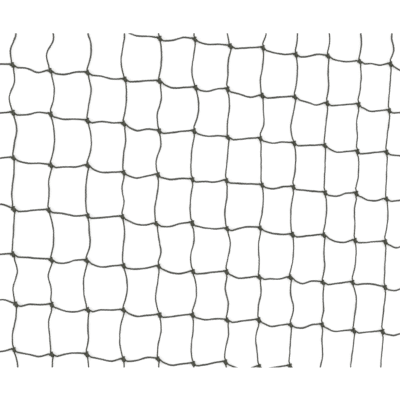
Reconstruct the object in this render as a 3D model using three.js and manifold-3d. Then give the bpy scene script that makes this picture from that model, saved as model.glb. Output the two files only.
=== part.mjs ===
// A cut length of knotted cat protection netting, lying flat on a surface.
//
// The netting is knotted from one kind of twine. Courses of crossbars run from left to right,
// columns of uprights run from top to bottom, and a hard knot joins them at every crossing.
// The piece is cut straight out of a larger net, so its outermost twines end in free tails.
//
// Millimetres. +X runs along the courses, +Y up the columns, and z = 0 is the surface.

import * as THREE from 'three';
import { mergeVertices } from 'three/addons/utils/BufferGeometryUtils.js';
import Module from 'manifold-3d';

const wasm = await Module();
wasm.setup();

// ---------------------------------------------------------------- driving dimensions

const TWINE_WIDTH = 1.2;
const CROSSBAR_HEIGHT = 1.15;   // centre of a crossbar above the surface
const UPRIGHT_HEIGHT = 1.3;     // centre of an upright above the surface

// A knot is a slanting six-sided block. Four of its sides face a twine each, and a slant joins
// them at the upper right and at the lower left. All from its centre.
const KNOT = { left: -2, right: 2.1, up: 2.8, down: -2.7, slantUp: -0.2, slantDown: -0.4, height: 2.8 };

// where each twine meets a knot, from its centre
const PORTS = {
  left: { x: -1.8, y: 1 },
  right: { x: 1.8, y: -1.1 },
  up: { x: -0.8, y: 2.5 },
  down: { x: 0.2, y: -2.2 },
};

const LATTICE = {
  columns: 12,
  courses: 8,
  firstColumn: -136.2,
  meshWidth: 27.3,        // between the first two columns
  narrowing: 0.52,        // each mesh is this much narrower than the one on its left
  meshHeight: 33.55,
  middle: -1.65,          // where the middle between the courses lies, at x = 0
  lean: 0.3,              // how far the first column leans, for each course
  leanChange: -0.116,     // and the change from each column to the next
  slope: -0.096,          // fall of the middle course, for each millimetre to the right
  slopeChange: 0.0088,    // and the change from each course to the next
  stagger: 0.91,          // every other knot sits this much lower, the rest this much higher
};

// the piece that is cut out of the larger net, with the origin in its middle
const PIECE = { width: 296, length: 244.1 };
const CUTTER_HEIGHT = 20;

// ---------------------------------------------------------------- how unevenly it lies

// Each pair of letters says which way something lies: l left, r right, u up, d down, or a dot
// where it lies in line. A small letter means slightly and a capital one markedly.
//   knots      where a knot lies off the lattice: sideways, then up or down
//   crossbars  how a crossbar bends at its left and its right bend
//   uprights   how the upright below the course bends at its upper and its lower bend
// The crossbars start with the tail left of the first column and end with the one on the right.
const STEPS = { l: -1, r: 1, d: -1, u: 1, L: -2, R: 2, D: -2, U: 2, '.': 0 };
const IN_LINE = '..';
const KNOT_STEP = 0.9;
const BOW_STEP = 1.2;
const BENDS = [0.3, 0.7];       // where the two bends lie, as shares of a stretch
const CHART = [
  {
    knots: '.. .. .. .. .. .. .. .. .. .. .. ..',
    crossbars: '.. .. .. .. .. .. .. .. .. .. .. .. ..',
    uprights: '.. .. .. .. .l .. .L .R .r .r .r .R',
  },
  {
    knots: '.. .. .. .. .d .. r. .. .. .. .u ..',
    crossbars: '.. .. .. .. d. .u d. .. dd .u dd .d D.',
    uprights: 'Rl RL RR lL rr lL l. .l rr .r rr ..',
  },
  {
    knots: '.d .. .. r. .. r. l. .. .. .. .. ..',
    crossbars: '.. .D d. .d .. Dd d. dD .. dD .. Dd ..',
    uprights: 'rL RR Rr rr rl RR r. rR lL .. l. ..',
  },
  {
    knots: '.u .u .u .. .d .. .. l. .u l. .. l.',
    crossbars: '.d .u d. u. D. .. d. .. d. .. Dd .. ..',
    uprights: 'Rr RR RR r. rl ll .. .. rr .. rr ..',
  },
  {
    knots: '.u .. .u .. ld l. l. ru .. .. .. ..',
    crossbars: '.. d. .d Dd Dd d. .d .. d. .. d. DD ..',
    uprights: '.l l. ll lr .l ll .l rr ll rr l. rr',
  },
  {
    knots: '.. L. .. l. Ld l. .. .u .. .. .. .d',
    crossbars: '.U .. .d .. DD d. dd uu dd .. DD .. D.',
    uprights: '.. RR rR r. rR rl Rr l. rr .r rr ..',
  },
  {
    knots: 'l. .. l. .. .. .. .. .. l. .. l. r.',
    crossbars: '.. .. d. Dd dd DD .. Dd .d D. .. uu d.',
    uprights: 'Rl L. LL RR lL RR lr r. .R .r Rr ..',
  },
  {
    knots: 'r. .. .. .. r. .. r. .. .. .. rd .D',
    crossbars: '.U u. DD u. Dd .. d. .. Dd d. Dd .. d.',
    uprights: '.l Ll .r LL r. .l r. Ll .. .r .. ..',
  },
  {
    knots: 'l. .. l. .. .. r. .u ru .u .. .. ..',
    crossbars: '.d dD uu dD .u Dd .. DD .. .. .. .. ..',
    uprights: 'R. .. r. .. .. .. r. .. .. .. .. ..',
  },
];

// the two readings, in steps, of pair number index in a row of the chart
function reading(course, kind, index) {
  const pair = CHART[course]?.[kind].split(' ')[index] ?? IN_LINE;
  return [...pair].map((letter) => STEPS[letter]);
}

// ---------------------------------------------------------------- the lattice of knots

// Courses count from 1 at the top and columns from 1 at the left; one more of each lies
// outside the cut on every side.
function knotCentre(course, column) {
  const across = column - 1;
  const down = course - (LATTICE.courses + 1) / 2;
  const lowOrHigh = (course + column) % 2 ? 1 : -1;
  const [right, up] = reading(course, 'knots', across);
  const x = LATTICE.firstColumn
    + LATTICE.meshWidth * across
    - (LATTICE.narrowing * across * (across - 1)) / 2
    + (LATTICE.lean + LATTICE.leanChange * across) * down;
  const y = LATTICE.middle
    - LATTICE.meshHeight * down
    + (LATTICE.slope + LATTICE.slopeChange * down) * x
    + lowOrHigh * LATTICE.stagger;
  return { x: x + right * KNOT_STEP, y: y + up * KNOT_STEP };
}

function isKept({ x, y }) {
  return Math.abs(x) < PIECE.width / 2 && Math.abs(y) < PIECE.length / 2;
}

function port(centre, side) {
  return { x: centre.x + PORTS[side].x, y: centre.y + PORTS[side].y };
}

function between(from, to, share) {
  return { x: from.x + (to.x - from.x) * share, y: from.y + (to.y - from.y) * share };
}

// The four points of one stretch between two knots: its ends, and its bends pushed aside by
// the bows, in steps. sideways says which way a bow goes.
function stretch(from, to, bows, sideways) {
  const bends = BENDS.map((share, index) => {
    const point = between(from, to, share);
    const bow = bows[index] * BOW_STEP;
    return { x: point.x + sideways.x * bow, y: point.y + sideways.y * bow };
  });
  return [from, ...bends, to];
}

// The part of a stretch from its kept knot to its first point beyond the cut, or right into the
// knot that follows.
function tail(points, nextKnot) {
  const beyond = points.findIndex((point) => !isKept(point));
  return beyond < 0 ? [...points, nextKnot] : points.slice(0, beyond + 1);
}

// One twine line from end to end: knots is its row of knots, first and last included, and
// stretches has the stretch after each knot.
function line(knots, stretches) {
  const first = knots.findIndex(isKept);
  const last = knots.findLastIndex(isKept);
  const startTail = tail([...stretches[first - 1]].reverse(), knots[first - 1]).reverse();
  const middle = stretches.slice(first, last).flat();
  return [...startTail, ...middle, ...tail(stretches[last], knots[last + 1])];
}

function courseLine(course) {
  const columns = [...Array(LATTICE.columns + 2).keys()];
  const knots = columns.map((column) => knotCentre(course, column));
  const stretches = columns.slice(0, -1).map((column) => stretch(
    port(knots[column], 'right'),
    port(knots[column + 1], 'left'),
    reading(course, 'crossbars', column),
    { x: 0, y: 1 },
  ));
  return line(knots, stretches);
}

function columnLine(column) {
  const courses = [...Array(LATTICE.courses + 2).keys()];
  const knots = courses.map((course) => knotCentre(course, column));
  const stretches = courses.slice(0, -1).map((course) => stretch(
    port(knots[course], 'down'),
    port(knots[course + 1], 'up'),
    reading(course, 'uprights', column - 1),
    { x: 1, y: 0 },
  ));
  return line(knots, stretches);
}

// ---------------------------------------------------------------- solids

const WELD_DISTANCE = 1e-4;

// A route with one step between each two of its points.
class Route extends THREE.CatmullRomCurve3 {
  getPointAt(share) {
    return this.getPoint(share);
  }

  getTangentAt(share) {
    return this.getTangent(share);
  }

  getSpacedPoints(steps) {
    return this.getPoints(steps);
  }
}

function twine(points, height) {
  const half = TWINE_WIDTH / 2;
  const section = new THREE.Shape([
    new THREE.Vector2(-half, -half),
    new THREE.Vector2(half, -half),
    new THREE.Vector2(half, half),
    new THREE.Vector2(-half, half),
  ]);
  const route = new Route(points.map(({ x, y }) => new THREE.Vector3(x, y, height)));
  return new THREE.ExtrudeGeometry(section, { steps: points.length - 1, extrudePath: route });
}

function knot({ x, y }) {
  const outline = new THREE.Shape([
    new THREE.Vector2(KNOT.left, KNOT.slantDown),
    new THREE.Vector2(KNOT.slantDown, KNOT.down),
    new THREE.Vector2(KNOT.right, KNOT.down),
    new THREE.Vector2(KNOT.right, KNOT.slantUp),
    new THREE.Vector2(KNOT.slantUp, KNOT.up),
    new THREE.Vector2(KNOT.left, KNOT.up),
  ]);
  const block = new THREE.ExtrudeGeometry(outline, { depth: KNOT.height, bevelEnabled: false });
  block.translate(x, y, 0);
  return block;
}

function toSolid(geometry) {
  const bare = geometry.clone();
  bare.deleteAttribute('normal');
  bare.deleteAttribute('uv');
  const merged = mergeVertices(bare, WELD_DISTANCE);
  return new wasm.Manifold(new wasm.Mesh({
    numProp: 3,
    vertProperties: Float32Array.from(merged.attributes.position.array),
    triVerts: Uint32Array.from(merged.index.array),
  }));
}

function toGeometry(solid) {
  const mesh = solid.getMesh();
  const geometry = new THREE.BufferGeometry();
  geometry.setAttribute('position', new THREE.BufferAttribute(mesh.vertProperties, 3));
  geometry.setIndex(new THREE.BufferAttribute(mesh.triVerts, 1));
  geometry.computeVertexNormals();
  return geometry;
}

function netting() {
  const geometries = [];
  for (let course = 1; course <= LATTICE.courses; course += 1) {
    geometries.push(twine(courseLine(course), CROSSBAR_HEIGHT));
    for (let column = 1; column <= LATTICE.columns; column += 1) {
      const centre = knotCentre(course, column);
      if (isKept(centre)) geometries.push(knot(centre));
    }
  }
  for (let column = 1; column <= LATTICE.columns; column += 1) {
    geometries.push(twine(columnLine(column), UPRIGHT_HEIGHT));
  }
  const cutter = new THREE.BoxGeometry(PIECE.width, PIECE.length, CUTTER_HEIGHT);
  const uncut = geometries.map(toSolid).reduce((whole, piece) => whole.add(piece));
  return toGeometry(uncut.intersect(toSolid(cutter)));
}

// ---------------------------------------------------------------- the part

const oliveTwine = new THREE.MeshStandardMaterial({
  name: 'olive twine',
  color: '#50514a',
  roughness: 0.75,
  metalness: 0,
});

const net = new THREE.Mesh(netting(), oliveTwine);
net.name = 'net';

const part = new THREE.Group();
part.name = 'cat_protection_net';
part.add(net);

export default part;
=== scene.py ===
"""The looks of a cut length of knotted cat protection netting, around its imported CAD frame.

The CAD node is one plain closed body. Here the netting is built as it is really made: from
twines of three plies that climb across the piece like stairs. At every crossing one twine
makes a bight and the next one is hitched round it in a sheet bend, pulled tight.

Lengths are in millimetres up to the point where meshes are made, as in the part's own source,
and in metres from there on. +X runs along the courses, +Y up the columns, z = 0 is the surface.
"""
import math
import random

import bmesh
import bpy
import numpy as np
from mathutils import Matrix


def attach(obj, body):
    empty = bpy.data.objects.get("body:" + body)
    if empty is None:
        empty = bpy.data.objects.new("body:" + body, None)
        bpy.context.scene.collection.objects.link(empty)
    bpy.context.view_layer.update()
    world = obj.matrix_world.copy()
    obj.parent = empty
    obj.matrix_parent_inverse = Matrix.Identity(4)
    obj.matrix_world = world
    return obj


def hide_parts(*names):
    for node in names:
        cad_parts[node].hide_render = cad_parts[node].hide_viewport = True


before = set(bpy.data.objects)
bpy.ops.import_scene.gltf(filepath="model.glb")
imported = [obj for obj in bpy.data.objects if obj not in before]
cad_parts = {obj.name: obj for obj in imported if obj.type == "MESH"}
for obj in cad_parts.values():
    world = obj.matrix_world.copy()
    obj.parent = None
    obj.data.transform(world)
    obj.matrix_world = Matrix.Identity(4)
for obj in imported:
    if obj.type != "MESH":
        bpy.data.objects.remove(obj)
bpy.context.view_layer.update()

MM = 0.001
SEED = 7
TINY = 1e-9             # keeps a division safe where a length is nil

# ---------------------------------------------------------------- the netting, as in the part

TWINE_RADIUS = 0.75     # of the round that its plies fill
CROSSBAR_HEIGHT = 1.15  # centre of a crossbar above the surface
UPRIGHT_HEIGHT = 1.3    # centre of an upright above the surface

COLUMNS = 12
COURSES = 8
FIRST_COLUMN = -136.2
MESH_WIDTH = 27.3       # between the first two columns
NARROWING = 0.52        # each mesh is this much narrower than the one on its left
MESH_HEIGHT = 33.55
MIDDLE = -1.65          # where the middle between the courses lies, at x = 0
LEAN = 0.3              # how far the first column leans, for each course
LEAN_CHANGE = -0.116    # and the change from each column to the next
SLOPE = -0.096          # fall of the middle course, for each millimetre to the right
SLOPE_CHANGE = 0.0088   # and the change from each course to the next
STAGGER = 0.91          # every other knot sits this much lower, the rest this much higher

PIECE_WIDTH = 296.0     # cut straight out of the larger net, round the origin
PIECE_LENGTH = 244.1

# Each pair of letters says which way something lies: l left, r right, u up, d down, or a dot
# where it lies in line. A small letter means slightly and a capital one markedly.
#   knots      where a knot lies off the lattice: sideways, then up or down
#   crossbars  how a crossbar bends at its left and its right bend
#   uprights   how the upright below the course bends at its upper and its lower bend
# The crossbars start with the tail left of the first column and end with the one on the right.
STEPS = {"l": -1, "r": 1, "d": -1, "u": 1, "L": -2, "R": 2, "D": -2, "U": 2, ".": 0}
IN_LINE = ".."
KNOT_STEP = 0.9
BOW_STEP = 1.2
BENDS = (0.3, 0.7)      # where the two bends lie, as shares of a stretch
CHART = [
    {
        "knots": ".. .. .. .. .. .. .. .. .. .. .. ..",
        "crossbars": ".. .. .. .. .. .. .. .. .. .. .. .. ..",
        "uprights": ".. .. .. .. .l .. .L .R .r .r .r .R",
    },
    {
        "knots": ".. .. .. .. .d .. r. .. .. .. .u ..",
        "crossbars": ".. .. .. .. d. .u d. .. dd .u dd .d D.",
        "uprights": "Rl RL RR lL rr lL l. .l rr .r rr ..",
    },
    {
        "knots": ".d .. .. r. .. r. l. .. .. .. .. ..",
        "crossbars": ".. .D d. .d .. Dd d. dD .. dD .. Dd ..",
        "uprights": "rL RR Rr rr rl RR r. rR lL .. l. ..",
    },
    {
        "knots": ".u .u .u .. .d .. .. l. .u l. .. l.",
        "crossbars": ".d .u d. u. D. .. d. .. d. .. Dd .. ..",
        "uprights": "Rr RR RR r. rl ll .. .. rr .. rr ..",
    },
    {
        "knots": ".u .. .u .. ld l. l. ru .. .. .. ..",
        "crossbars": ".. d. .d Dd Dd d. .d .. d. .. d. DD ..",
        "uprights": ".l l. ll lr .l ll .l rr ll rr l. rr",
    },
    {
        "knots": ".. L. .. l. Ld l. .. .u .. .. .. .d",
        "crossbars": ".U .. .d .. DD d. dd uu dd .. DD .. D.",
        "uprights": ".. RR rR r. rR rl Rr l. rr .r rr ..",
    },
    {
        "knots": "l. .. l. .. .. .. .. .. l. .. l. r.",
        "crossbars": ".. .. d. Dd dd DD .. Dd .d D. .. uu d.",
        "uprights": "Rl L. LL RR lL RR lr r. .R .r Rr ..",
    },
    {
        "knots": "r. .. .. .. r. .. r. .. .. .. rd .D",
        "crossbars": ".U u. DD u. Dd .. d. .. Dd d. Dd .. d.",
        "uprights": ".l Ll .r LL r. .l r. Ll .. .r .. ..",
    },
    {
        "knots": "l. .. l. .. .. r. .u ru .u .. .. ..",
        "crossbars": ".d dD uu dD .u Dd .. DD .. .. .. .. ..",
        "uprights": "R. .. r. .. .. .. r. .. .. .. .. ..",
    },
]


def reading(course, kind, index):
    """The two readings, in steps, of pair number index in a row of the chart."""
    pairs = CHART[course][kind].split() if course < len(CHART) else []
    pair = pairs[index] if 0 <= index < len(pairs) else IN_LINE
    return [STEPS[letter] for letter in pair]


def knot_centre(course, column):
    """Courses count from 1 at the top and columns from 1 at the left."""
    across = column - 1
    down = course - (COURSES + 1) / 2
    right, up = reading(course, "knots", across)
    x = (
        FIRST_COLUMN
        + MESH_WIDTH * across
        - NARROWING * across * (across - 1) / 2
        + (LEAN + LEAN_CHANGE * across) * down
    )
    low_or_high = 1 if (course + column) % 2 else -1
    y = MIDDLE - MESH_HEIGHT * down + (SLOPE + SLOPE_CHANGE * down) * x + low_or_high * STAGGER
    return np.array([x + right * KNOT_STEP, y + up * KNOT_STEP, 0.0])


def is_kept(point):
    return abs(point[0]) < PIECE_WIDTH / 2 and abs(point[1]) < PIECE_LENGTH / 2


# ---------------------------------------------------------------- one knot, pulled tight

# A sheet bend seen from above, in the knot's own axes: along its slant from the upper left to
# the lower right, across it towards the upper right, and up from its middle. The bight runs
# from the left crossbar to the upper upright. The hitch comes from the lower upright, rises
# through the bight, goes round behind its legs, tucks under itself and leaves to the right.
SLANT = math.radians(-57)
KNOT_MIDDLE = (-0.26, 0.49, 1.4)    # of its own axes, from its centre in the piece
TWINE_IN_KNOT = 0.9     # how near two centrelines come there, as the twine is squeezed
PRESSED_DOWN = 0.02     # how much lower than half of that they may lie over the surface
NEIGHBOURS = 1.5        # points of one twine within this many thicknesses don't push each other
BIGHT = [
    (-1.5, -1.1, -0.15),
    (-0.9, -0.6, 0.0),
    (-0.2, -0.5, 0.0),
    (0.6, -0.68, 0.0),
    (1.3, -0.62, 0.0),
    (1.75, -0.3, 0.0),
    (1.85, 0.0, 0.0),
    (1.75, 0.3, 0.0),
    (1.3, 0.62, 0.0),
    (0.6, 0.68, 0.0),
    (-0.2, 0.5, 0.0),
    (-1.0, 0.42, 0.0),
    (-2.0, 0.6, -0.05),
]
HITCH = [
    (2.2, -0.95, -0.55),
    (1.6, -0.3, -0.85),
    (1.1, -0.05, -0.6),
    (0.9, 0.0, 0.1),
    (0.75, 0.05, 0.85),
    (0.35, 0.2, 1.35),
    (-0.1, 0.6, 1.1),
    (-0.75, 1.0, 0.5),
    (-0.9, 1.1, -0.1),
    (-1.0, 0.7, -0.75),
    (-0.9, 0.0, -0.9),
    (-0.75, -0.7, -0.75),
    (-0.75, -1.1, -0.1),
    (-0.6, -1.0, 0.5),
    (-0.3, -0.6, 0.9),
    (0.1, -0.05, 0.8),
    (0.6, 0.5, 0.85),
    (1.3, 0.75, 0.75),
    (2.0, 0.85, 0.3),
]

# how far each knot's loops are turned, in degrees, and their size; and how far along the twine
# from a knot's end this holds in full
KNOT_TURN = (-15, 10)
KNOT_SIZE = (0.96, 1.16)
FIRM_FROM_END = 2.0

# where each twine leaves the knot, from the knot's centre in the piece's axes
LEFT_END = (-2.8, 1.06, CROSSBAR_HEIGHT)
RIGHT_END = (3.2, -1.46, CROSSBAR_HEIGHT)
UPPER_END = (-0.84, 3.6, UPRIGHT_HEIGHT)
LOWER_END = (0.22, -3.4, UPRIGHT_HEIGHT)

# A stretch that leaves askew pulls its end of the knot along: by this share of how far its
# nearest bend lies to the side, counted from where it lies in most stretches.
GIVE = 0.2
GIVE_REACH = 3.0        # how far into the knot this is felt, along the twine
USUAL_BEND = {"left": -0.1, "right": -0.25, "up": 0.5, "down": -0.4}


def arc_lengths(points):
    return np.concatenate([[0], np.cumsum(np.linalg.norm(np.diff(points, axis=0), axis=1))])


def along_polyline(points, spacing):
    """Points at an even spacing along straight lines between the given ones."""
    points = np.asarray(points, float)
    reached = arc_lengths(points)
    count = max(2, round(reached[-1] / spacing) + 1)
    at = np.linspace(0, reached[-1], count)
    return np.stack([np.interp(at, reached, points[:, axis]) for axis in range(3)], axis=1)


def knot_to_piece(points):
    """From the knot's own axes to the piece's, still from the knot's centre."""
    along, across, up = np.asarray(points, float).T
    return np.stack(
        [
            along * math.cos(SLANT) - across * math.sin(SLANT),
            along * math.sin(SLANT) + across * math.cos(SLANT),
            up,
        ],
        axis=1,
    ) + KNOT_MIDDLE


def tightened_knot(rounds=40, pushes=4, spacing=0.28, stiffness=0.15, yielding=0.5):
    """The centrelines of the bight and the hitch. Their ends are held, and in every round both
    are drawn in by their stiffness. Then the twines push each other apart, each yielding by a
    share, wherever they come nearer than their thickness. Nothing goes below the surface."""
    bight = along_polyline([LEFT_END, *knot_to_piece(BIGHT), UPPER_END], spacing)
    hitch = along_polyline([LOWER_END, *knot_to_piece(HITCH), RIGHT_END], spacing)

    split = len(bight)
    points = np.concatenate([bight, hitch])
    index = np.arange(len(points))
    twine = (index >= split).astype(int)
    same = twine[:, None] == twine[None, :]
    near = np.abs(index[:, None] - index[None, :]) * spacing < NEIGHBOURS * TWINE_IN_KNOT
    may_touch = ~(same & near)
    held = np.isin(index, [0, split - 1, split, len(points) - 1])
    lowest = TWINE_IN_KNOT / 2 - PRESSED_DOWN
    for _ in range(rounds):
        drawn = points.copy()
        for ends in (slice(0, split), slice(split, None)):
            part = points[ends]
            drawn[ends][1:-1] += stiffness * ((part[:-2] + part[2:]) / 2 - part[1:-1])
        drawn[held] = points[held]
        for _ in range(pushes):
            apart = drawn[:, None] - drawn[None, :]
            distance = np.linalg.norm(apart, axis=2) + TINY
            deficit = np.where(may_touch, np.clip(TWINE_IN_KNOT - distance, 0, None), 0)
            push = (apart / distance[..., None] * deficit[..., None]).sum(axis=1)
            touching = np.maximum((deficit > 0).sum(axis=1), 1)
            push = yielding * push / touching[:, None]
            push[held] = 0
            drawn = drawn + push
            drawn[:, 2] = np.maximum(drawn[:, 2], lowest)
        points = drawn
    return points[:split], points[split:]


# ---------------------------------------------------------------- the twines, as stairs


class Knot:
    """One knot of the piece: its two passes, each knot's loops turned and stretched a little."""

    def __init__(self, course, column, passes, chance):
        self.course, self.column = course, column
        self.centre = knot_centre(course, column)
        turn = math.radians(chance.uniform(*KNOT_TURN))
        size = chance.uniform(*KNOT_SIZE)
        cosine, sine = math.cos(turn), math.sin(turn)
        turned = size * np.array([[cosine, sine], [-sine, cosine]])
        self.bight, self.hitch = (self.placed(points, turned) for points in passes)

    def placed(self, points, turned):
        """The points of a pass in the piece. Its two ends stay where the stretches meet them."""
        reached = arc_lengths(points)
        from_end = np.minimum(reached, reached[-1] - reached)
        share = np.clip(from_end / FIRM_FROM_END, 0, 1)[:, None]
        placed = points + self.centre
        placed[:, :2] += share * (points[:, :2] @ turned - points[:, :2])
        return placed

    def pass_on_stair(self, stair):
        """The pass that the twine of this stair makes here, with the sides of its two ends."""
        if self.course + self.column == stair:
            return self.bight, ("left", "up")
        return self.hitch, ("down", "right")


def stretch(start, end, bows, sideways):
    """The points of a stretch from knot to knot. Its two bends lie to the side of the straight
    line by the bows, in steps."""
    bends = [
        start + (end - start) * share + bow * BOW_STEP * np.array(sideways)
        for share, bow in zip(BENDS, bows)
    ]
    return [start, *bends, end]


def stretch_between(lower, upper):
    """The points of the stretch from one knot of a stair to the next, both ends included."""
    if lower.course == upper.course:
        bows = reading(lower.course, "crossbars", lower.column)
        return stretch(lower.hitch[-1], upper.bight[0], bows, (0, 1, 0))
    bows = reading(upper.course, "uprights", upper.column - 1)
    return stretch(upper.hitch[0], lower.bight[-1], bows, (1, 0, 0))[::-1]


def pulled(points, sides, bends):
    """A pass whose two ends are shifted to the side, towards the bends that lie beyond them."""
    reached = arc_lengths(points)
    shifted = points.copy()
    ends = zip(sides, bends, (points[0], points[-1]), (reached, reached[-1] - reached))
    for side, bend, end, from_end in ends:
        axis = 1 if side in ("left", "right") else 0
        shift = GIVE * (bend[axis] - end[axis] - USUAL_BEND[side])
        shifted[:, axis] += shift * np.clip(1 - from_end / GIVE_REACH, 0, 1)
    return shifted


def tail(points, next_knot):
    """The part of a stretch from its kept knot to its first point beyond the cut, or right into
    the knot that follows."""
    for count, point in enumerate(points, start=1):
        if not is_kept(point):
            return points[:count]
    return [*points, next_knot.centre + (0, 0, UPRIGHT_HEIGHT)]


def stair_knots(stair, knots):
    """The knots that one twine climbs through, from the lower left, with those outside the cut."""
    crossed = [
        knot
        for knot in knots.values()
        if knot.course + knot.column in (stair - 1, stair)
    ]
    return sorted(crossed, key=lambda knot: knot.column - knot.course)


def stair_routes(stair, knots):
    """The centrelines of the twines of one stair: for each, a list of (what each part is, its
    points). A stair that leaves the cut and comes back is two twines."""
    crossed = stair_knots(stair, knots)
    routes = []
    for number, knot in enumerate(crossed):
        if not is_kept(knot.centre):
            continue
        before, after = crossed[number - 1], crossed[number + 1]
        coming = stretch_between(before, knot)
        going = stretch_between(knot, after)
        if not is_kept(before.centre):
            start_tail = tail(coming[::-1], before)[::-1]
            routes.append([("stretch", start_tail[:-1])])
        points, sides = knot.pass_on_stair(stair)
        routes[-1].append(("knot", pulled(points, sides, (coming[-2], going[1]))))
        onward = going[1:-1] if is_kept(after.centre) else tail(going, after)[1:]
        routes[-1].append(("stretch", onward))
    return routes


# ---------------------------------------------------------------- smooth centrelines

DENSE_STEP = 0.15
STRETCH_RING_STEP = 0.66
KNOT_RING_STEP = 0.55
LAY = 6.0               # length of one full turn of the three plies
RELIEF = (-0.3, 0.1)    # how far a stretch may sink towards the surface, or rise off it
THICKNESS = (0.91, 1.09)    # of one stretch of twine against another
RINGS_CLOSE_UP = 3      # the power with which the rings draw together on the way into a knot
WAVES_DIE_OUT = 2       # and the power with which the waves die out there

# the twine's small waves: how far each swings aside and up, and its change of thickness. One
# twine's waves are longer or shorter than another's, and rises and swellings have their own pace.
WAVE_STRETCH = (0.85, 1.2)
RISE_PACE = 1.3
SWELL_PACE = 0.8
WAVES = [
    {"length": 17.0, "aside": 0.07, "up": 0.06, "thicker": 0.045},
    {"length": 9.3, "aside": 0.05, "up": 0.05, "thicker": 0.045},
    {"length": 4.9, "aside": 0.035, "up": 0.03, "thicker": 0.03},
]


def curve_through(points, marks, step):
    """A centripetal Catmull-Rom curve through the points, sampled about every step, with the
    marks of the points, a row for each, carried along."""
    first = 2 * points[0] - points[1]
    last = 2 * points[-1] - points[-2]
    padded = np.concatenate([[first], points, [last]])
    knots = np.concatenate([[0], np.cumsum(np.linalg.norm(np.diff(padded, axis=0), axis=1) ** 0.5)])
    sampled, sampled_marks = [], []
    for number in range(len(points) - 1):
        p0, p1, p2, p3 = padded[number : number + 4]
        t0, t1, t2, t3 = knots[number : number + 4]
        count = max(1, round(np.linalg.norm(p2 - p1) / step))
        share = (np.arange(count) / count)[:, None]
        t = t1 + (t2 - t1) * share
        a1 = (t1 - t) / (t1 - t0) * p0 + (t - t0) / (t1 - t0) * p1
        a2 = (t2 - t) / (t2 - t1) * p1 + (t - t1) / (t2 - t1) * p2
        a3 = (t3 - t) / (t3 - t2) * p2 + (t - t2) / (t3 - t2) * p3
        b1 = (t2 - t) / (t2 - t0) * a1 + (t - t0) / (t2 - t0) * a2
        b2 = (t3 - t) / (t3 - t1) * a2 + (t - t1) / (t3 - t1) * a3
        sampled.append((t2 - t) / (t2 - t1) * b1 + (t - t1) / (t2 - t1) * b2)
        sampled_marks.append(marks[number] + (marks[number + 1] - marks[number]) * share)
    sampled.append(points[-1:])
    sampled_marks.append(marks[-1:])
    return np.concatenate(sampled), np.concatenate(sampled_marks)


def centreline(route, chance):
    """Ring centres along one twine, how much each lies in a knot, from 0 to 1, how thick the
    twine is there, as a share, and how far along it each is."""
    points, marks = [], []
    for kind, part in route:
        thickness = chance.uniform(*THICKNESS) if kind == "stretch" else 1.0
        for point in part:
            point = np.array(point, float)
            if kind == "stretch":
                point[2] += chance.uniform(*RELIEF)
            points.append(point)
            marks.append((1.0 if kind == "knot" else 0.0, thickness))
    dense, dense_marks = curve_through(np.array(points), np.array(marks), DENSE_STEP)
    in_knot, thickness = dense_marks.T

    reached = arc_lengths(dense)
    free = (1 - in_knot) ** WAVES_DIE_OUT
    tangents = np.gradient(dense, axis=0)
    aside = np.stack([-tangents[:, 1], tangents[:, 0]], axis=1)
    aside /= np.linalg.norm(aside, axis=1)[:, None] + TINY
    for wave in WAVES:
        phase = reached / (wave["length"] * chance.uniform(*WAVE_STRETCH))
        swing = np.sin(2 * math.pi * (phase + chance.random()))
        lift = np.sin(2 * math.pi * (phase * RISE_PACE + chance.random()))
        swell = np.sin(2 * math.pi * (phase * SWELL_PACE + chance.random()))
        dense[:, :2] += aside * (wave["aside"] * swing * free)[:, None]
        dense[:, 2] += wave["up"] * lift * free
        thickness = thickness + wave["thicker"] * swell * free
    dense[:, 2] = np.maximum(dense[:, 2], TWINE_RADIUS)

    reached = arc_lengths(dense)
    step = STRETCH_RING_STEP + (KNOT_RING_STEP - STRETCH_RING_STEP) * in_knot**RINGS_CLOSE_UP
    rings = np.concatenate([[0], np.cumsum(np.diff(reached) / step[:-1])])
    at = np.interp(np.linspace(0, rings[-1], round(rings[-1]) + 1), rings, reached)
    centres = np.stack([np.interp(at, reached, dense[:, axis]) for axis in range(3)], axis=1)
    return centres, np.interp(at, reached, in_knot), np.interp(at, reached, thickness), at


# ---------------------------------------------------------------- meshes

# One ply takes three of the nine points of the twine's section: a groove and two flanks.
PLIES = 3
PLY_POINTS = [
    {"turn": -60, "radius": 0.41},
    {"turn": -27, "radius": 0.97},
    {"turn": 27, "radius": 0.97},
]
SQUEEZED = 0.94         # thickness of the twine in a knot, as a share
UPRIGHT_THIN = 0.9      # the uprights are a little thinner than the crossbars
CROSSBAR_THICK = 0.99
THINNER_TO_RIGHT = 0.045    # from the middle to the right edge, and as much thicker to the left
THICKER_TO_TOP = 0.02       # from the middle to the top edge
END_HOLLOW = 0.15       # depth of the hollow in a twine's cut end


def section():
    """The points of the twine's section as (angle, radius), the radius as a share."""
    return [
        (math.radians(360 / PLIES * ply + point["turn"]), point["radius"])
        for ply in range(PLIES)
        for point in PLY_POINTS
    ]


def unit(vectors):
    return vectors / (np.linalg.norm(vectors, axis=-1, keepdims=True) + 1e-12)


def carried_frames(centres):
    """Two directions across the line at every point, carried along it without turning."""
    tangents = unit(np.gradient(centres, axis=0))
    side = unit(np.cross(tangents[0], (0.0, 0.0, 1.0)))
    sides = []
    for tangent in tangents:
        side = unit(side - tangent * np.dot(side, tangent))
        sides.append(side)
    sides = np.array(sides)
    return tangents, sides, np.cross(tangents, sides)


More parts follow.
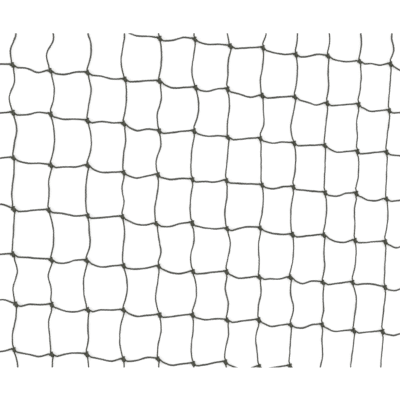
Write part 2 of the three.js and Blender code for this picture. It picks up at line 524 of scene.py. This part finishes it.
class MeshMaker:
    """Collects tubes and makes one mesh of them."""

    def __init__(self):
        self.vertices, self.faces, self.uvs, self.marks = [], [], [], []
        self.count = 0

    def tube(self, rings, along, marks):
        """rings is (ring, point, xyz). Both ends are closed with a fan."""
        ring_count, side_count, _ = rings.shape
        start = self.count
        ends = np.array([rings[0].mean(axis=0), rings[-1].mean(axis=0)])
        self.vertices.append(np.concatenate([rings.reshape(-1, 3), ends]))
        self.marks.append(np.concatenate([np.repeat(marks, side_count), marks[[0, -1]]]))
        self.count += ring_count * side_count + 2
        first_end, last_end = self.count - 2, self.count - 1
        for ring in range(ring_count - 1):
            low = start + ring * side_count
            for side in range(side_count):
                after = (side + 1) % side_count
                high = low + side_count
                self.faces.append((low + after, high + after, high + side, low + side))
                u0, u1 = side / side_count, (side + 1) / side_count
                v0, v1 = along[ring], along[ring + 1]
                self.uvs += [(u1, v0), (u1, v1), (u0, v1), (u0, v0)]
        last = start + (ring_count - 1) * side_count
        for side in range(side_count):
            after = (side + 1) % side_count
            self.faces.append((first_end, start + after, start + side))
            self.faces.append((last_end, last + side, last + after))
            self.uvs += [(0.0, along[0])] * 3 + [(0.0, along[-1])] * 3

    def make(self, name, material):
        mesh = bpy.data.meshes.new(name)
        vertices = np.concatenate(self.vertices) * MM
        mesh.from_pydata(vertices.tolist(), [], self.faces)
        uv_layer = mesh.uv_layers.new(name="twine")
        uv_layer.data.foreach_set("uv", np.array(self.uvs, np.float32).ravel())
        in_knot = mesh.attributes.new("in_knot", "FLOAT", "POINT")
        in_knot.data.foreach_set("value", np.concatenate(self.marks).astype(np.float32))
        mesh.polygons.foreach_set("use_smooth", [True] * len(mesh.polygons))
        mesh.materials.append(material)
        piece = bpy.data.objects.new(name, mesh)
        bpy.context.scene.collection.objects.link(piece)
        return piece


def add_twine(maker, route, chance):
    """One twine of three plies along its route."""
    centres, in_knot, thickness, along = centreline(route, chance)
    tangents, sides, ups = carried_frames(centres)
    level = np.abs(tangents[:, 0]) / (np.hypot(tangents[:, 0], tangents[:, 1]) + TINY)
    radius = TWINE_RADIUS * (UPRIGHT_THIN + (CROSSBAR_THICK - UPRIGHT_THIN) * level**2)
    radius *= thickness * (1 + (SQUEEZED - 1) * in_knot)
    radius *= 1 - THINNER_TO_RIGHT * centres[:, 0] / (PIECE_WIDTH / 2)
    radius *= 1 + THICKER_TO_TOP * centres[:, 1] / (PIECE_LENGTH / 2)
    turn = 2 * math.pi * along / LAY + chance.uniform(0, 2 * math.pi)
    rings = []
    for angle, share in section():
        around = turn + angle
        offset = np.cos(around)[:, None] * sides + np.sin(around)[:, None] * ups
        rings.append(centres + offset * (radius * share)[:, None])
    maker.tube(np.stack(rings, axis=1), along, in_knot)


def cut_straight(piece):
    """Cuts a piece along the four edges of the netting and closes the cut twines, each with a
    shallow hollow in its end. An end whose new face looks inwards bulges by as much instead."""
    mesh = bmesh.new()
    mesh.from_mesh(piece.data)
    for axis, half in ((0, PIECE_WIDTH / 2 * MM), (1, PIECE_LENGTH / 2 * MM)):
        for side in (-1, 1):
            outwards = [0.0, 0.0, 0.0]
            outwards[axis] = side
            on_cut = [part * half for part in outwards]
            everything = mesh.verts[:] + mesh.edges[:] + mesh.faces[:]
            bmesh.ops.bisect_plane(
                mesh, geom=everything, plane_co=on_cut, plane_no=outwards, clear_outer=True
            )
            open_edges = [edge for edge in mesh.edges if edge.is_boundary]
            ends = bmesh.ops.holes_fill(mesh, edges=open_edges, sides=0)["faces"]
            for face in ends:
                face.smooth = False
            bmesh.ops.poke(mesh, faces=ends, offset=-END_HOLLOW * MM, center_mode="MEAN")
    mesh.to_mesh(piece.data)
    mesh.free()


# ---------------------------------------------------------------- materials


def colour(red, green, blue):
    """An sRGB colour, 0 to 255, as the linear one that Blender takes."""

    def linear(value):
        value /= 255
        return value / 12.92 if value <= 0.04045 else ((value + 0.055) / 1.055) ** 2.4

    return (linear(red), linear(green), linear(blue), 1.0)


TWINE_DARK = colour(75, 76, 70)
TWINE_PALE = colour(106, 106, 101)
# the knots' colour: an olive tint of their own, and darker than the twine's mean as painted shade
# where the twines wrap round each other
KNOT_OLIVE_SHADED = colour(78, 80, 66)
KNOT_TINGE_AND_SHADE = 0.8        # how much of that colour the knots take on

ROUGHNESS = 0.6
SPECULAR = 0.35

# Each noise counts as pale from one level on, and in full at the next.
WORN = {"scale": 260.0, "from": 0.42, "full": 0.72}
FIBRES = {"round_it": 26.0, "along": 0.5, "detail": 3.0, "from": 0.35, "full": 0.65, "paleness": 0.35}
FIBRE_BUMP = {"strength": 0.6, "height": 0.0001}

# painted shade in the groove between two plies: how much darker its bottom is painted, and its half
# width in plies
GROOVE_PAINTED_SHADE = {"colour": (0.008, 0.008, 0.006, 1.0), "shade": 0.45, "half_width": 0.22}

FLOOR_WHITE = (0.8, 0.8, 0.8, 1.0)
FLOOR_LIFT = 0.45       # near the net
FAR_FLOOR_LIFT = 0.62
LAMPLIT = 0.5           # how far from the middle the lamps light the floor in full
UNLIT = 2.5             # and from where on they hardly do


def new_material(name):
    material = bpy.data.materials.new(name)
    material.use_nodes = True
    nodes = material.node_tree.nodes
    nodes.clear()
    return material, nodes, material.node_tree.links


def mix_colours(nodes, links, share, first, second, blend="MIX"):
    mix = nodes.new("ShaderNodeMix")
    mix.data_type = "RGBA"
    mix.blend_type = blend
    for socket, value in ((0, share), (6, first), (7, second)):
        if hasattr(value, "is_linked"):
            links.new(value, mix.inputs[socket])
        else:
            mix.inputs[socket].default_value = value
    return mix.outputs[2]


def maths(nodes, links, operation, first, second=None):
    node = nodes.new("ShaderNodeMath")
    node.operation = operation
    for socket, value in enumerate((first, second)):
        if hasattr(value, "is_linked"):
            links.new(value, node.inputs[socket])
        elif value is not None:
            node.inputs[socket].default_value = value
    return node.outputs[0]


def ramp(nodes, links, value, start, end, low=0.0, high=1.0):
    """The value taken from low at start to high at end, and held beyond them."""
    node = nodes.new("ShaderNodeMapRange")
    levels = {"From Min": start, "From Max": end, "To Min": low, "To Max": high}
    for socket, level in levels.items():
        node.inputs[socket].default_value = level
    links.new(value, node.inputs["Value"])
    return node.outputs[0]


def seen(nodes, links):
    """One for what the camera sees, straight, in a reflection or through something."""
    rays = nodes.new("ShaderNodeLightPath").outputs
    first = maths(nodes, links, "MAXIMUM", rays["Is Camera Ray"], rays["Is Glossy Ray"])
    return maths(nodes, links, "MAXIMUM", first, rays["Is Transmission Ray"])


def noise(nodes, links, vector, scale, detail=2.0):
    node = nodes.new("ShaderNodeTexNoise")
    node.inputs["Scale"].default_value = scale
    node.inputs["Detail"].default_value = detail
    links.new(vector, node.inputs["Vector"])
    return node.outputs["Fac"]


def twine_material():
    """Matt twisted polyethylene twine: dark olive grey, paler in places, fine fibres along it.
    Painted shade darkens its ply grooves and knots.
    """
    material, nodes, links = new_material("twine")
    shader = nodes.new("ShaderNodeBsdfPrincipled")
    output = nodes.new("ShaderNodeOutputMaterial")
    links.new(shader.outputs[0], output.inputs["Surface"])
    shader.inputs["Roughness"].default_value = ROUGHNESS
    shader.inputs["Specular IOR Level"].default_value = SPECULAR

    place = nodes.new("ShaderNodeTexCoord")
    uv = nodes.new("ShaderNodeUVMap")
    uv.uv_map = "twine"
    parts = nodes.new("ShaderNodeSeparateXYZ")
    links.new(uv.outputs[0], parts.inputs[0])
    round_it, along = parts.outputs[0], parts.outputs[1]

    # worn and paler for a few millimetres here and there
    patches = noise(nodes, links, place.outputs["Object"], WORN["scale"])
    worn = ramp(nodes, links, patches, WORN["from"], WORN["full"])
    base = mix_colours(nodes, links, worn, TWINE_DARK, TWINE_PALE)

    # fine fibres, long along the twine and narrow round it
    fibre_place = nodes.new("ShaderNodeCombineXYZ")
    across_fibres = maths(nodes, links, "MULTIPLY", round_it, FIBRES["round_it"])
    along_fibres = maths(nodes, links, "MULTIPLY", along, FIBRES["along"])
    links.new(across_fibres, fibre_place.inputs[0])
    links.new(along_fibres, fibre_place.inputs[1])
    fibres = noise(nodes, links, fibre_place.outputs[0], 1.0, FIBRES["detail"])
    paleness = ramp(nodes, links, fibres, FIBRES["from"], FIBRES["full"], high=FIBRES["paleness"])
    base = mix_colours(nodes, links, paleness, base, TWINE_PALE)

    # the knots are more olive and darker: partly their own tint, partly painted shade where the
    # twines wrap round each other
    attribute = nodes.new("ShaderNodeAttribute")
    attribute.attribute_name = "in_knot"
    knot_tinge_and_shade = maths(nodes, links, "MULTIPLY", attribute.outputs["Fac"], KNOT_TINGE_AND_SHADE)
    base = mix_colours(nodes, links, knot_tinge_and_shade, base, KNOT_OLIVE_SHADED)

    # painted shade: the groove between two plies is painted darker than their crests, as shade falls
    # between them
    in_ply = maths(nodes, links, "FRACT", maths(nodes, links, "MULTIPLY", round_it, float(PLIES)))
    from_groove = maths(nodes, links, "PINGPONG", in_ply, 0.5)
    shade = ramp(nodes, links, from_groove, 0.0, GROOVE_PAINTED_SHADE["half_width"], low=GROOVE_PAINTED_SHADE["shade"], high=0.0)
    base = mix_colours(nodes, links, shade, base, GROOVE_PAINTED_SHADE["colour"])
    links.new(base, shader.inputs["Base Color"])

    bump = nodes.new("ShaderNodeBump")
    bump.inputs["Strength"].default_value = FIBRE_BUMP["strength"]
    bump.inputs["Distance"].default_value = FIBRE_BUMP["height"]
    links.new(fibres, bump.inputs["Height"])
    links.new(bump.outputs[0], shader.inputs["Normal"])
    return material


def floor_material():
    """A white floor. What the camera sees of it is lifted to white, less the net's shadow, and
    lifted more where the lamps' light no longer reaches."""
    material, nodes, links = new_material("floor")
    output = nodes.new("ShaderNodeOutputMaterial")
    diffuse = nodes.new("ShaderNodeBsdfDiffuse")
    diffuse.inputs["Color"].default_value = FLOOR_WHITE
    lift = nodes.new("ShaderNodeEmission")
    place = nodes.new("ShaderNodeTexCoord")
    distance = nodes.new("ShaderNodeVectorMath")
    distance.operation = "LENGTH"
    links.new(place.outputs["Object"], distance.inputs[0])
    away = distance.outputs["Value"]
    level = ramp(nodes, links, away, LAMPLIT, UNLIT, low=FLOOR_LIFT, high=FAR_FLOOR_LIFT)
    strength = maths(nodes, links, "MULTIPLY", seen(nodes, links), level)
    links.new(strength, lift.inputs["Strength"])
    both = nodes.new("ShaderNodeAddShader")
    links.new(diffuse.outputs[0], both.inputs[0])
    links.new(lift.outputs[0], both.inputs[1])
    links.new(both.outputs[0], output.inputs["Surface"])
    return material


# ---------------------------------------------------------------- the stage

FLOOR_SIDE = 60.0
WORLD_LEVEL = 0.55
FRAME_WIDTH = 0.292     # of the camera's view, at the twines
FRAME_CENTRE = (-0.0004, 0.00025)
TWINE_LEVEL = 0.0012
CAMERA_HEIGHT = 1.6
SENSOR_WIDTH = 36.0     # in millimetres, as Blender counts it
SIDE_LIGHTS = [
    {"name": "left", "place": (-1.5, 0.0, 0.75), "size": 1.2, "power": 14.0},
    {"name": "right", "place": (1.5, 0.0, 0.75), "size": 1.2, "power": 14.0},
]


def make_floor():
    bpy.ops.mesh.primitive_plane_add(size=FLOOR_SIDE)
    floor = bpy.context.object
    floor.name = "floor"
    floor.data.materials.append(floor_material())
    return floor


def make_world():
    world = bpy.data.worlds.new("studio")
    world.use_nodes = True
    nodes, links = world.node_tree.nodes, world.node_tree.links
    background = nodes["Background"]
    background.inputs["Color"].default_value = (1.0, 1.0, 1.0, 1.0)
    level = maths(nodes, links, "MULTIPLY", seen(nodes, links), 1.0 - WORLD_LEVEL)
    links.new(maths(nodes, links, "ADD", level, WORLD_LEVEL), background.inputs["Strength"])
    bpy.context.scene.world = world


def make_lights():
    for light in SIDE_LIGHTS:
        data = bpy.data.lights.new(light["name"], "AREA")
        data.shape = "DISK"
        data.size = light["size"]
        data.energy = light["power"]
        lamp = bpy.data.objects.new(light["name"], data)
        lamp.location = light["place"]
        x, y, z = light["place"]
        tilt = math.atan2(math.hypot(x, y), z)
        lamp.rotation_euler = (tilt, 0, math.atan2(y, x) + math.pi / 2)
        bpy.context.scene.collection.objects.link(lamp)


def make_camera():
    data = bpy.data.cameras.new("camera")
    data.sensor_width = SENSOR_WIDTH
    data.lens = data.sensor_width * (CAMERA_HEIGHT - TWINE_LEVEL) / FRAME_WIDTH
    camera = bpy.data.objects.new("camera", data)
    camera.location = (*FRAME_CENTRE, CAMERA_HEIGHT)
    bpy.context.scene.collection.objects.link(camera)
    bpy.context.scene.camera = camera


# ---------------------------------------------------------------- the piece


def make_netting(material):
    chance = random.Random(SEED)
    passes = tightened_knot()
    knots = {
        (course, column): Knot(course, column, passes, chance)
        for course in range(COURSES + 2)
        for column in range(COLUMNS + 2)
    }
    maker = MeshMaker()
    for stair in range(2, COURSES + COLUMNS + 2):
        for route in stair_routes(stair, knots):
            add_twine(maker, route, chance)
    netting = maker.make("netting", material)
    cut_straight(netting)
    return netting


def main():
    bpy.context.scene.view_settings.view_transform = "Standard"
    make_camera()
    make_world()
    make_lights()
    floor = make_floor()
    netting = make_netting(twine_material())
    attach(netting, "root")
    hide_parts("net")


main()
